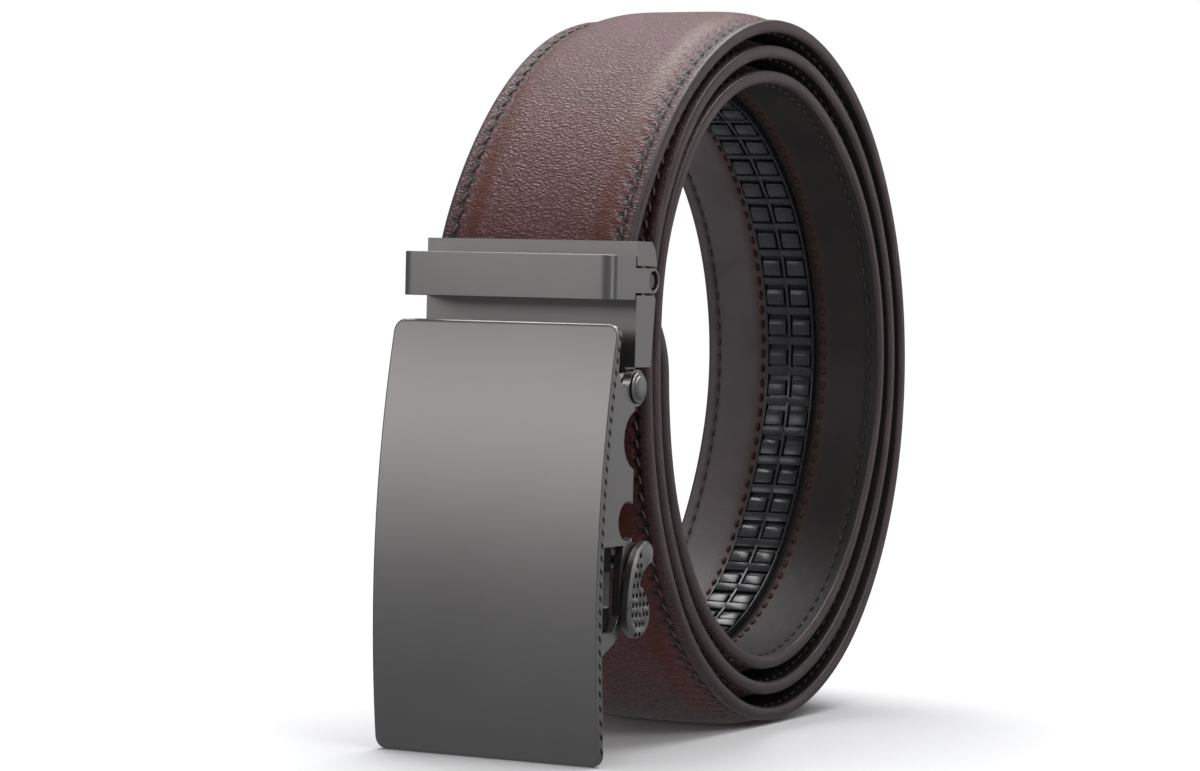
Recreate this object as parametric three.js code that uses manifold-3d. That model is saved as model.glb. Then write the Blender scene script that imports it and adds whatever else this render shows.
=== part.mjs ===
// Ratchet belt, rolled up and standing on its rim, with the buckle in front.
// Millimetres. X runs across the strap, Y from the buckle (-Y) to the back of the coil, Z up.
import * as THREE from 'three';
import { mergeVertices } from 'three/addons/utils/BufferGeometryUtils.js';
import Module from 'manifold-3d';

const wasm = await Module();
wasm.setup();

// Strap
const strapWidth = 35;
const edgeThickness = 2.2;
const leatherWall = 1.0;
const rimWidth = 1.4;
const padRise = 1.6;
const pressedPad = 0.55;
const marginWidth = 3.6;
const padShoulder = 4.9;
const padRoomShare = 0.85;
const tipLength = 16;

// Coil
const coilRadius = 60;
const coilEndAngle = 1011;
const joinAngle = -10;
const turnSteps = 48;
const restFlat = 0.8;

// Toothed track on the inner face
const trackWidth = 9.6;
const trackBase = 0.7;
const toothHeight = 0.9;
const toothPitch = 5.8;
const spineWidth = 1.2;
const trackFromTip = 38;
const trackFromTurnEnd = 17;

// Metal
const sheet = 1.4;
const strapSideRoom = 0.35;
const plateOverhang = 1.25;
const plateHeight = 69.7;
const plateThickness = 1.3;
const plateCorner = 2;
const plateBevel = 0.4;
const plateLean = 3.3;
const plateBulge = 3.5;
const frameBase = 0.8;
const loopHeight = 7.1;
const loopLegHeight = 4.1;
const loopReach = 8.5;
const loopWall = 1.7;
const loopCorner = 2;
const loopAbovePlate = 3.8;
const clampPinRadius = 1.2;
const hingePinRadius = 1.3;
const hingeBelowPlate = 10.2;
const hingeBehindClamp = 1.05;
const clampAboveLoop = 2.3;
const clampPinBehindClamp = 6.1;
const leverBehindClamp = 0.9;
const strapAboveEar = 2.7;
const jawBelowPin = 9;
const rivetHeadRadius = 2.6;
const earRadius = 3;
const leverPinRadius = 0.9;
const leverBossRadius = 1.4;
const pawlWidth = 29;
const tabLobeRadius = 3.8;
const tabHeadRadius = 2.2;
const tabThickness = 1.8;
const tabBevel = 0.4;

// Clearances
const seatGap = 0.3;
const turnGap = 0.25;

const roundSteps = 20;
const degree = Math.PI / 180;
const pressedThickness = edgeThickness + pressedPad;

// Radius of the strap's outer margin and spacing of the turns, by degrees from the top towards
// the back. radius is a share of coilRadius, spacing a share of the strap's pressed thickness.
const coilTable = [
  { angle: 0, radius: 1.028, spacing: 1.64 },
  { angle: 30, radius: 1.005, spacing: 1.89 },
  { angle: 60, radius: 0.975, spacing: 1.78 },
  { angle: 90, radius: 0.975, spacing: 1.85 },
  { angle: 120, radius: 1.010, spacing: 2.15 },
  { angle: 150, radius: 1.042, spacing: 2.04 },
  { angle: 180, radius: 1.032, spacing: 1.64 },
  { angle: 210, radius: 0.965, spacing: 1.36 },
  { angle: 240, radius: 0.897, spacing: 1.17 },
  { angle: 270, radius: 0.882, spacing: 1.11 },
  { angle: 300, radius: 0.953, spacing: 1.13 },
  { angle: 330, radius: 1.013, spacing: 1.31 },
  { angle: 360, radius: 1.028, spacing: 1.64 },
];

// The strap passes between the sheet metal sides, and the face plate covers them
const innerBody = strapWidth / 2 + strapSideRoom;
const halfBody = innerBody + sheet;
const plateWidth = 2 * (halfBody + plateOverhang);
const pawlReach = pawlWidth / 2;

// Places in the side view, worked out from the strap in the clamp and from the floor up
const strapY = -0.966 * coilRadius;
const clampBack = strapY - pressedPad - turnGap;
const clampFront = clampBack - sheet;
const loopFront = clampFront - loopReach;
const loopBottom = plateHeight + loopAbovePlate;
const loopTop = loopBottom + loopHeight;
const clampTop = loopTop + clampAboveLoop;
const clampPinY = clampFront + clampPinBehindClamp;
const clampPinZ = loopBottom + 0.44 * loopHeight;
const hingeY = clampFront + hingeBehindClamp;
const hingeZ = plateHeight - hingeBelowPlate;
const strapStartZ = hingeZ + earRadius + strapAboveEar;
const plateTopY = loopFront + 0.5;
const leverY = clampFront + leverBehindClamp;
const leverZ = 0.459 * plateHeight;

// Shapes

// A closed body through rings of points. The contour is the first ring's outline in its own
// plane, counter-clockwise for someone who looks along the way the rings go.
function loft(rings, contour) {
  const count = contour.length;
  const last = (rings.length - 1) * count;
  const positions = rings.flat().flatMap((point) => [point.x, point.y, point.z]);
  const index = [];
  for (let ring = 0; ring < rings.length - 1; ring += 1) {
    for (let side = 0; side < count; side += 1) {
      const here = ring * count + side;
      const next = ring * count + ((side + 1) % count);
      index.push(here, next + count, next, here, here + count, next + count);
    }
  }
  for (const [a, b, c] of THREE.ShapeUtils.triangulateShape(contour, [])) {
    index.push(a, b, c, last + a, last + c, last + b);
  }
  const geometry = new THREE.BufferGeometry();
  geometry.setAttribute('position', new THREE.Float32BufferAttribute(positions, 3));
  geometry.setIndex(index);
  return geometry;
}

// A side view outline of [y, z] points or a Shape, as a slab from xFrom to xTo
function sideSlab(outline, xFrom, xTo, bevel = 0) {
  const shape = outline instanceof THREE.Shape
    ? outline
    : new THREE.Shape(outline.map(([y, z]) => new THREE.Vector2(y, z)));
  const geometry = new THREE.ExtrudeGeometry(shape, {
    depth: xTo - xFrom - 2 * bevel,
    curveSegments: roundSteps / 2,
    bevelEnabled: bevel > 0,
    bevelSize: bevel,
    bevelOffset: -bevel,
    bevelThickness: bevel,
    bevelSegments: 1,
  });
  const acrossTheStrap = new THREE.Matrix4().makeBasis(
    new THREE.Vector3(0, 1, 0),
    new THREE.Vector3(0, 0, 1),
    new THREE.Vector3(1, 0, 0),
  );
  return geometry.applyMatrix4(acrossTheStrap).translate(xFrom + bevel, 0, 0);
}

function box(xFrom, xTo, yFrom, yTo, zFrom, zTo) {
  return new THREE.BoxGeometry(xTo - xFrom, yTo - yFrom, zTo - zFrom)
    .translate((xFrom + xTo) / 2, (yFrom + yTo) / 2, (zFrom + zTo) / 2);
}

function rod(radius, xFrom, xTo, y, z) {
  return new THREE.CylinderGeometry(radius, radius, xTo - xFrom, roundSteps)
    .rotateZ(-Math.PI / 2)
    .translate((xFrom + xTo) / 2, y, z);
}

function mirrored(geometry) {
  const copy = geometry.clone().scale(-1, 1, 1);
  const index = copy.index ? [...copy.index.array] : [...copy.attributes.position.array.keys()]
    .slice(0, copy.attributes.position.count);
  return copy.setIndex(index.reverse());
}

function asSolid(geometry) {
  const bare = geometry.clone();
  bare.deleteAttribute('normal');
  bare.deleteAttribute('uv');
  const merged = mergeVertices(bare, 1e-4);
  return new wasm.Manifold(new wasm.Mesh({
    numProp: 3,
    vertProperties: new Float32Array(merged.attributes.position.array),
    triVerts: new Uint32Array(merged.index.array),
  }));
}

function asGeometry(solid) {
  const mesh = solid.getMesh();
  const geometry = new THREE.BufferGeometry();
  geometry.setAttribute('position', new THREE.BufferAttribute(mesh.vertProperties, 3));
  geometry.setIndex(new THREE.BufferAttribute(mesh.triVerts, 1));
  return geometry;
}

// Joins the first list of shapes and cuts the second list out of them
function build(joined, cuts = []) {
  let solid = joined.map(asSolid).reduce((sum, piece) => sum.add(piece));
  for (const cut of cuts) {
    solid = solid.subtract(asSolid(cut));
  }
  return asGeometry(solid);
}

// Strap

const coilShape = new THREE.CubicInterpolant(
  coilTable.map((row) => row.angle),
  coilTable.flatMap((row) => [row.radius * coilRadius, row.spacing * pressedThickness]),
  2,
);
coilShape.settings = { endingStart: THREE.WrapAroundEnding, endingEnd: THREE.WrapAroundEnding };

// Where the strap's outer margin runs, from the coil's own centre
function coilPoint(angle) {
  const [radius, spacing] = coilShape.evaluate(THREE.MathUtils.euclideanModulo(angle, 360));
  const reach = radius - spacing * angle / 360;
  return new THREE.Vector2(reach * Math.sin(angle * degree), reach * Math.cos(angle * degree));
}

function coilHeading(angle) {
  return coilPoint(angle + 0.5).sub(coilPoint(angle - 0.5)).normalize();
}

// How far the padded middle stands out of the margins, less where the turns press together
function padAt(angle) {
  const spacing = coilShape.evaluate(THREE.MathUtils.euclideanModulo(angle, 360))[1];
  return Math.min(padRise, padRoomShare * (spacing - edgeThickness - turnGap));
}

// A cross-section's place, with the direction that faces out of the coil
function station(place, heading, pad, widthShare = 1) {
  return { place, out: new THREE.Vector2(-heading.y, heading.x), pad, widthShare };
}

function coilCentreHeight() {
  let lowest = 0;
  for (let step = 0; step < turnSteps; step += 1) {
    const angle = 360 * step / turnSteps;
    lowest = Math.min(lowest, coilPoint(angle).y - padAt(angle));
  }
  return -lowest - restFlat;
}

const centreZ = coilCentreHeight();

function coilStation(angle, widthShare) {
  const place = coilPoint(angle);
  place.y += centreZ;
  return station(place, coilHeading(angle), padAt(angle), widthShare);
}

// Straight up out of the clamp, over the top of the coil and round to the tip
function strapStations() {
  const up = new THREE.Vector2(0, 1);
  const joined = coilStation(joinAngle);
  const exitHandle = 0.05 * coilRadius;
  const joinHandle = 0.56 * coilRadius;
  const lead = new THREE.CubicBezierCurve(
    new THREE.Vector2(strapY, clampTop - 2),
    new THREE.Vector2(strapY, clampTop - 2 + exitHandle),
    joined.place.clone().addScaledVector(coilHeading(joinAngle), -joinHandle),
    joined.place,
  );
  const stations = [station(new THREE.Vector2(strapY, strapStartZ), up, pressedPad)];
  const leadSteps = 7;
  for (let step = 0; step < leadSteps; step += 1) {
    const share = step / leadSteps;
    const swelling = THREE.MathUtils.smoothstep(share, 0, 1);
    const pad = THREE.MathUtils.lerp(pressedPad, joined.pad, swelling);
    stations.push(station(lead.getPoint(share), lead.getTangent(share), pad));
  }
  const stepAngle = 360 / turnSteps;
  const tipAngle = tipLength / (coilPoint(coilEndAngle).length() * degree);
  for (let angle = joinAngle; angle < coilEndAngle - tipAngle; angle += stepAngle) {
    stations.push(coilStation(angle));
  }
  const tipSteps = 6;
  for (let step = 0; step <= tipSteps; step += 1) {
    const along = Math.sin(step / tipSteps * Math.PI / 2);
    const widthShare = 0.35 + 0.65 * Math.cos(step / tipSteps * Math.PI / 2);
    stations.push(coilStation(coilEndAngle - tipAngle * (1 - along), widthShare));
  }
  return stations;
}

// A section carried along the stations. Its points are [x, rise, share of the pad's own rise].
function alongStrap(section, stations) {
  const rings = stations.map(({ place, out, pad, widthShare }) => (
    section.map(([x, rise, padShare]) => {
      const height = rise + pad * padShare * widthShare;
      return new THREE.Vector3(x * widthShare, place.x + out.x * height, place.y + out.y * height);
    })));
  return loft(rings, section.map(([x, rise, padShare]) => (
    new THREE.Vector2(x, rise + pressedPad * padShare))));
}

function strapLeather() {
  const half = strapWidth / 2;
  const margin = half - marginWidth;
  const pocket = half - rimWidth;
  const shoulder = margin - 0.45 * padShoulder;
  const section = [
    [-half, -edgeThickness, 0], [-pocket, -edgeThickness, 0], [-pocket, -leatherWall, 0],
    [pocket, -leatherWall, 0], [pocket, -edgeThickness, 0], [half, -edgeThickness, 0],
    [half, 0, 0], [margin, 0, 0], [shoulder, 0, 0.6], [margin - padShoulder, 0, 0.9], [0, 0, 1],
    [-margin + padShoulder, 0, 0.9], [-shoulder, 0, 0.6], [-margin, 0, 0], [-half, 0, 0],
  ];
  const geometry = alongStrap(section, strapStations());
  const points = geometry.attributes.position;
  for (let point = 0; point < points.count; point += 1) {
    points.setZ(point, Math.max(points.getZ(point), 0));
  }
  return geometry;
}

function strapLining() {
  const edge = strapWidth / 2 - rimWidth - seatGap;
  const top = -leatherWall - seatGap;
  const section = [
    [-edge, -edgeThickness, 0], [edge, -edgeThickness, 0], [edge, top, 0], [-edge, top, 0],
  ];
  return alongStrap(section, strapStations());
}

// Saw teeth in two columns beside a spine. Each tooth rises slowly and drops at once. The track
// lies open on the last turn, and starts short of the tip that would lie over it.
function ratchetTrack() {
  const arc = coilPoint(coilEndAngle - 180).length() * degree;
  const toothCount = Math.floor((360 * arc - trackFromTip - trackFromTurnEnd) / toothPitch);
  const startAngle = coilEndAngle - (trackFromTip + toothCount * toothPitch) / arc;
  const pitchAngle = toothPitch / arc;
  const seat = -edgeThickness - seatGap;
  const floor = seat - trackBase;
  const half = trackWidth / 2;
  const spine = spineWidth / 2;
  const crest = floor - toothHeight;
  const sectionAt = (height) => [
    [-half, height], [-spine, height], [-spine, crest], [spine, crest],
    [spine, height], [half, height], [half, seat], [-half, seat],
  ];
  const rings = [];
  const addRing = (angle, height) => {
    const { place, out } = coilStation(angle);
    rings.push(sectionAt(height).map(([x, rise]) => (
      new THREE.Vector3(x, place.x + out.x * rise, place.y + out.y * rise))));
  };
  for (let tooth = 0; tooth < toothCount; tooth += 1) {
    addRing(startAngle + tooth * pitchAngle, floor);
    addRing(startAngle + (tooth + 0.86) * pitchAngle, crest + 0.15);
  }
  addRing(startAngle + toothCount * pitchAngle, floor);
  return loft(rings, sectionAt(floor).map(([x, rise]) => new THREE.Vector2(x, rise)));
}

// Clamp

function clampTab(zFrom, zTo, rearLow, rearHigh, round) {
  const outline = [
    [clampBack - sheet, zFrom], [rearLow, zFrom], [rearHigh, zTo - round],
    [rearHigh - round, zTo], [clampBack - sheet, zTo],
  ];
  const slab = sideSlab(outline, innerBody, halfBody);
  return [slab, mirrored(slab)];
}

// Front plate, two side tabs above and below the loop's legs, and ears on the hinge
function clampBody() {
  const slotBottom = clampPinZ - loopLegHeight / 2 - seatGap;
  const slotTop = clampPinZ + loopLegHeight / 2 + seatGap;
  const earEdge = innerBody - 0.35;
  const tabBottom = hingeZ + earRadius + seatGap;
  const earTop = tabBottom + 1;
  const ear = sideSlab([
    [clampFront, hingeZ], [hingeY, hingeZ - 1], [hingeY + 2.4, hingeZ],
    [hingeY + 2.4, earTop], [clampFront, earTop],
  ], earEdge - sheet, earEdge);
  const plate = box(-halfBody, halfBody, clampFront, clampBack, tabBottom, clampTop);
  const skirt = box(-earEdge, earEdge, clampFront, clampBack, hingeZ + 2, earTop);
  const legSlot = box(innerBody - seatGap, halfBody + 1, clampFront - 1, clampBack + 1,
    slotBottom, slotTop);
  const pinHole = rod(hingePinRadius + turnGap, -halfBody, halfBody, hingeY, hingeZ);
  return build(
    [
      plate,
      skirt,
      ...clampTab(slotTop, clampTop, clampPinY + 1.1, clampPinY + 0.2, 1.2),
      ...clampTab(tabBottom, slotBottom, clampPinY - 0.5, clampPinY + 0.7, 0.5),
      ear,
      rod(earRadius - 0.4, earEdge - sheet, earEdge, hingeY, hingeZ),
      mirrored(ear),
      rod(earRadius - 0.4, -earEdge, sheet - earEdge, hingeY, hingeZ),
    ],
    [legSlot, mirrored(legSlot), pinHole],
  );
}

// Toothed flap that bites the strap's inner face
function clampJaw() {
  const face = strapY + edgeThickness + turnGap;
  const toothDepth = 0.7;
  const teeth = 5;
  const bottom = clampPinZ - jawBelowPin;
  const top = clampTop - 3.2;
  const pitch = (top - bottom) / teeth;
  const outline = [];
  for (let tooth = 0; tooth < teeth; tooth += 1) {
    outline.push([face + toothDepth, bottom + tooth * pitch], [face, bottom + (tooth + 0.5) * pitch]);
  }
  outline.push([face + toothDepth, top]);
  outline.push([face + toothDepth + 1, top], [face + toothDepth + 1, bottom]);
  const knuckle = rod(clampPinRadius + 0.7, -innerBody + seatGap, innerBody - seatGap,
    clampPinY, clampPinZ);
  const flap = sideSlab(outline.reverse(), -innerBody + seatGap, innerBody - seatGap);
  return build(
    [flap, knuckle],
    [
      rod(clampPinRadius + turnGap, -halfBody, halfBody, clampPinY, clampPinZ),
      box(-halfBody, halfBody, clampFront, face, bottom - sheet, top + sheet),
    ],
  );
}

function clampPin() {
  return rod(clampPinRadius, -halfBody + 0.4, halfBody - 0.4, clampPinY, clampPinZ);
}

// Bar in front of the clamp with two legs back to the pin
function keeperLoop() {
  const back = clampPinY + 2.2;
  const plan = new THREE.Shape();
  plan.moveTo(-halfBody, back);
  plan.lineTo(-halfBody, loopFront + loopCorner);
  plan.absarc(-halfBody + loopCorner, loopFront + loopCorner, loopCorner, Math.PI, 1.5 * Math.PI);
  plan.lineTo(halfBody - loopCorner, loopFront);
  plan.absarc(halfBody - loopCorner, loopFront + loopCorner, loopCorner, 1.5 * Math.PI, 2 * Math.PI);
  plan.lineTo(halfBody, back);
  plan.lineTo(innerBody, back);
  plan.lineTo(innerBody, loopFront + loopWall);
  plan.lineTo(-innerBody, loopFront + loopWall);
  plan.lineTo(-innerBody, back);
  const bent = new THREE.ExtrudeGeometry(plan, {
    depth: loopHeight, bevelEnabled: false, curveSegments: 4,
  }).translate(0, 0, loopBottom);
  const shoulder = clampFront - seatGap;
  const side = new THREE.Shape();
  const legHalf = loopLegHeight / 2;
  side.moveTo(loopFront - 1, loopBottom);
  side.lineTo(shoulder, loopBottom);
  side.lineTo(shoulder, clampPinZ - legHalf);
  side.lineTo(clampPinY, clampPinZ - legHalf);
  side.absarc(clampPinY, clampPinZ, legHalf, -Math.PI / 2, Math.PI / 2);
  side.lineTo(shoulder, clampPinZ + legHalf);
  side.lineTo(shoulder, loopTop);
  side.lineTo(loopFront - 1, loopTop);
  const outline = asSolid(bent).intersect(asSolid(sideSlab(side, -halfBody - 1, halfBody + 1)));
  const hole = asSolid(rod(clampPinRadius + 0.4, -halfBody - 1, halfBody + 1, clampPinY, clampPinZ));
  return asGeometry(outline.subtract(hole));
}

// Buckle

// Height z on the face plate's front, which leans forward at the foot and bows out
function plateFront(z) {
  const share = 1 - z / plateHeight;
  return plateTopY - plateLean * share - 4 * plateBulge * share * (1 - share);
}

const baseBack = (z) => plateFront(z) + plateThickness + seatGap + frameBase;

// A bowed sheet behind the front line, with its corners rounded in the front view
function bowedSheet(width, bottom, top, behind, thickness, corner, bevel) {
  const heights = [];
  const cornerSteps = 4;
  const bowSteps = 14;
  for (let step = 0; step <= cornerSteps; step += 1) {
    heights.push(top - corner * (1 - Math.cos(step / cornerSteps * Math.PI / 2)));
  }
  for (let step = 1; step < bowSteps; step += 1) {
    heights.push(top - corner - (top - bottom - 2 * corner) * step / bowSteps);
  }
  for (let step = cornerSteps; step >= 0; step -= 1) {
    heights.push(bottom + corner * (1 - Math.cos(step / cornerSteps * Math.PI / 2)));
  }
  const rings = heights.map((z) => {
    const inset = Math.max(0, corner - Math.min(top - z, z - bottom));
    const half = width / 2 - corner + Math.sqrt(corner * corner - inset * inset);
    const front = plateFront(z) + behind;
    return [
      [-half + bevel, front], [half - bevel, front], [half, front + bevel],
      [half, front + thickness], [-half, front + thickness], [-half, front + bevel],
    ].map(([x, y]) => new THREE.Vector3(x, y, z));
  });
  return loft(rings, rings[0].map((point) => new THREE.Vector2(point.x, point.y)));
}

function facePlate() {
  return bowedSheet(plateWidth, 0, plateHeight, 0, plateThickness, plateCorner, plateBevel);
}

// Side flange with an ear on the hinge, two scooped bites and a window beside the lever
function frameFlange() {
  const rear = clampFront + 0.45;
  const foot = 0.236 * plateHeight;
  const head = 0.888 * plateHeight;
  const outline = [];
  const frontSteps = 10;
  for (let step = 0; step <= frontSteps; step += 1) {
    const z = head + (foot - head) * step / frontSteps;
    outline.push([baseBack(z) - frameBase / 2, z]);
  }
  outline.push([clampFront - 4.9, 0.275 * plateHeight], [clampFront - 3.2, 0.3 * plateHeight]);
  outline.push([clampFront - 2.6, 0.335 * plateHeight], [clampFront - 2.2, leverZ - 2]);
  outline.push([rear, leverZ], [rear, hingeZ], [rear - 1, head]);
  const bites = [
    { y: clampFront + 1.65, share: 0.7345, radius: 4.8 },
    { y: clampFront - 1.25, share: 0.5495, radius: 3.2 },
    { y: clampFront - 3.05, share: 0.888, radius: 2.1 },
  ];
  const windowTop = 0.495 * plateHeight;
  const windowBottom = 0.3 * plateHeight;
  const window = sideSlab([
    [baseBack(windowTop) + 0.9, windowTop],
    [baseBack(leverZ - 4) + 0.9, leverZ - 4],
    [baseBack(windowBottom) + 0.9, windowBottom],
    [clampFront - 5.4, windowBottom],
    [clampFront - 3.6, 0.335 * plateHeight],
    [clampFront - 3.3, leverZ - 2],
    [clampFront - 2.6, windowTop],
  ], innerBody - 1, halfBody + 1);
  return {
    joined: [
      sideSlab(outline, innerBody, halfBody),
      rod(earRadius, innerBody, halfBody, hingeY, hingeZ),
      rod(leverBossRadius + 1.4, innerBody, halfBody, leverY, leverZ),
    ],
    cuts: [
      ...bites.map(({ y, share, radius }) => (
        rod(radius, innerBody - 1, halfBody + 1, y, share * plateHeight))),
      window,
    ],
  };
}

function buckleFrame() {
  const behind = plateThickness + seatGap;
  const base = bowedSheet(plateWidth - 0.8, 3, plateHeight - 4, behind, frameBase, plateCorner, 0.1);
  const flange = frameFlange();
  return build(
    [base, ...flange.joined, ...flange.joined.map(mirrored)],
    [
      ...flange.cuts,
      ...flange.cuts.map(mirrored),
      rod(hingePinRadius + turnGap, -halfBody - 1, halfBody + 1, hingeY, hingeZ),
      rod(leverPinRadius + turnGap, -halfBody - 1, 0, leverY, leverZ),
      rod(leverBossRadius + turnGap, 0, halfBody + 1, leverY, leverZ),
    ],
  );
}

// Rivet with a stepped round head at each end
function hingeRivet() {
  const seat = halfBody + turnGap;
  const profile = [
    [0, seat + 0.7], [0.9, seat + 0.7], [1.9, seat + 0.55], [2, seat + 0.3],
    [rivetHeadRadius - 0.3, seat + 0.3], [rivetHeadRadius, seat], [hingePinRadius, seat],
  ].map(([radius, along]) => new THREE.Vector2(radius, along));
  const mirror = profile.map((point) => new THREE.Vector2(point.x, -point.y)).reverse();
  return new THREE.LatheGeometry([...profile, ...mirror].reverse(), roundSteps)
    .rotateZ(-Math.PI / 2)
    .translate(0, hingeY, hingeZ);
}

// Lever

// Arm up from the pivot with a tooth that faces the tail's track, and a toe in front of it
function pawl() {
  const tipZ = leverZ + 0.22 * plateHeight;
  const tipY = baseBack(tipZ) + pressedThickness + trackBase;
  const arm = sideSlab([
    [leverY - 6.4, leverZ - 1.6], [leverY - 6.3, leverZ - 5.4], [leverY - 4, leverZ - 6],
    [leverY - 3.2, leverZ - 2.6], [leverY, leverZ - 2.4], [leverY + 2.2, leverZ],
    [leverY + 1.4, tipZ - 6], [leverY + 0.6, tipZ + 0.8], [leverY - 1.4, tipZ + 1.2],
    [tipY, tipZ], [leverY - 2, tipZ - 2.6], [leverY - 2.4, leverZ + 1],
  ], -pawlReach, pawlReach);
  return build([arm], [rod(leverPinRadius + turnGap, -halfBody, halfBody, leverY, leverZ)]);
}

function leverPin() {
  return rod(leverPinRadius, -halfBody, pawlReach, leverY, leverZ);
}

// Finger tab outside the flange, a round lobe and a smaller head with a waist at the rear
function leverTab() {
  const shape = new THREE.Shape();
  const lobeY = leverY - 1.15;
  const lobeZ = leverZ - 8.5;
  const headY = leverY + 1.35;
  const headZ = leverZ + 0.9;
  const waist = [lobeY + 0.3, (headZ + lobeZ) / 2 + 0.4];
  const headFoot = headZ - 0.68 * tabHeadRadius;
  shape.moveTo(...waist);
  shape.quadraticCurveTo(waist[0] + 0.6, headFoot - 1.1, headY + 0.73 * tabHeadRadius, headFoot);
  shape.absarc(headY, headZ, tabHeadRadius, -0.24 * Math.PI, 0.62 * Math.PI);
  shape.quadraticCurveTo(lobeY - 3.2, headZ + 0.6, lobeY - 0.98 * tabLobeRadius, lobeZ + 0.8);
  shape.absarc(lobeY, lobeZ, tabLobeRadius, 0.93 * Math.PI, 2.13 * Math.PI);
  shape.quadraticCurveTo(lobeY + 2.2, lobeZ + 3.6, ...waist);
  const inside = halfBody + turnGap;
  return build([
    sideSlab(shape, inside, inside + tabThickness, tabBevel),
    rod(leverBossRadius, pawlReach + turnGap, inside + tabBevel + 0.2, leverY, leverZ),
  ]);
}

// Assembly

const finishes = {
  outerLeather: { color: 0x5b4140, roughness: 0.62, metalness: 0 },
  liningLeather: { color: 0x2b2321, roughness: 0.7, metalness: 0 },
  trackPlastic: { color: 0x161719, roughness: 0.5, metalness: 0 },
  gunmetal: { color: 0x6d6862, roughness: 0.38, metalness: 1 },
  darkGunmetal: { color: 0x45423f, roughness: 0.4, metalness: 1 },
};

const group = new THREE.Group();

function addPiece(name, geometry, finish) {
  const mesh = new THREE.Mesh(geometry, new THREE.MeshStandardMaterial(finishes[finish]));
  mesh.name = name;
  group.add(mesh);
}

addPiece('strap_leather', strapLeather(), 'outerLeather');
addPiece('strap_lining', strapLining(), 'liningLeather');
addPiece('ratchet_track', ratchetTrack(), 'trackPlastic');
addPiece('clamp_body', clampBody(), 'gunmetal');
addPiece('clamp_jaw', clampJaw(), 'darkGunmetal');
addPiece('clamp_pin', clampPin(), 'darkGunmetal');
addPiece('keeper_loop', keeperLoop(), 'gunmetal');
addPiece('face_plate', facePlate(), 'gunmetal');
addPiece('buckle_frame', buckleFrame(), 'gunmetal');
addPiece('hinge_rivet', hingeRivet(), 'gunmetal');
addPiece('pawl', pawl(), 'darkGunmetal');
addPiece('lever_pin', leverPin(), 'darkGunmetal');
addPiece('lever_tab', leverTab(), 'gunmetal');

// The origin is the middle of the foot
const extent = new THREE.Box3().setFromObject(group);
group.position.set(-(extent.min.x + extent.max.x) / 2, -(extent.min.y + extent.max.y) / 2, -extent.min.z);

export default group;
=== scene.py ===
import math

import bmesh
import bpy
import numpy as np
from mathutils import Matrix, Vector


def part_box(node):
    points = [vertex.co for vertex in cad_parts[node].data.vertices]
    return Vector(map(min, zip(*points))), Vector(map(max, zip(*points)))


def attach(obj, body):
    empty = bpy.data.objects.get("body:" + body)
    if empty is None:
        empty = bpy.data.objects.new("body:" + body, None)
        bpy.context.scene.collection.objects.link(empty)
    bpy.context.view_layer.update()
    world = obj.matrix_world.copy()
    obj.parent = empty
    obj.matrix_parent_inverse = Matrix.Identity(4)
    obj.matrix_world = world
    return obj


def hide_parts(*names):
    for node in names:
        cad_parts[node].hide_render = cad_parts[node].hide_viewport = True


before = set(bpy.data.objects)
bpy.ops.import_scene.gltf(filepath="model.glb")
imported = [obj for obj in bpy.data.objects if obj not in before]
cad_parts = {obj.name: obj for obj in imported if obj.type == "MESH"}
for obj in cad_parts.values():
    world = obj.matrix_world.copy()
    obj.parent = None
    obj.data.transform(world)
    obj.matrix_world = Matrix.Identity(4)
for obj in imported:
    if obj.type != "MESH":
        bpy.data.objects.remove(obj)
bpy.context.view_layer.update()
mm = 0.001
print("frame loaded")


# Where the strap runs

roll = {
    "width": 35.0,           # mm, as every size in this dictionary
    "edge": 2.2,             # thickness at the painted edge
    "pad": 1.6,              # rise of the padded middle
    "pressedPad": 0.55,      # its rise inside the clamp
    "margin": 3.6,           # flat border outside the pad
    "radius": 60.0,
    "endAngle": 1011.0,      # degrees, from the top towards the back
    "joinAngle": -10.0,      # where the rising strap meets the first turn
    "floorPress": 0.8,       # how far the lowest turn is pressed flat
    "turnGap": 0.25,
    "padRoomShare": 0.85,
    "padFlatness": 5.3,      # a higher power makes the pad's top flatter
    "padFoot": 1.1,          # how deep under the margin the pad's rise starts to act
    "padFade": 0.9,          # the height over which it comes in
    "tip": 16.0,             # length of the rounded tip
    "tipWidth": 0.35,        # share of the width that is left at its end
    "startAboveRivet": 5.7,
    "riseBelowClampTop": 2,
    "clampSheet": 1.4,
    # shares of the radius: the clamp's place, and the two handles of the rising curve
    "clampShare": 0.966,
    "lowHandle": 0.05,
    "highHandle": 0.56,
    # how many places each stretch of the line has
    "clampSteps": 20,
    "riseSteps": 80,
    "floorSteps": 48,
    # share of the radius, and share of edge + pressedPad, every 30 degrees
    "radiusShares": [1.028, 1.005, .975, .975, 1.010, 1.042, 1.032, .965, .897, .882, .953, 1.013],
    "spacingShares": [1.64, 1.89, 1.78, 1.85, 2.15, 2.04, 1.64, 1.36, 1.17, 1.11, 1.13, 1.31],
}


def turnShape(angle):  # radius and spacing of the turns, a closed Catmull-Rom curve through the shares
    count = len(roll["radiusShares"])
    place = (angle % 360) / (360 / count)
    first = int(place)
    t = place - first
    values = []
    for shares in (roll["radiusShares"], roll["spacingShares"]):
        a, b, c, d = (shares[(first + step) % count] for step in (-1, 0, 1, 2))
        slopeIn, slopeOut = (c - a) / 2, (d - b) / 2
        values.append((2 * t ** 3 - 3 * t ** 2 + 1) * b + (t ** 3 - 2 * t ** 2 + t) * slopeIn
                      + (3 * t ** 2 - 2 * t ** 3) * c + (t ** 3 - t ** 2) * slopeOut)
    return values[0] * roll["radius"], values[1] * (roll["edge"] + roll["pressedPad"])


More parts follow.
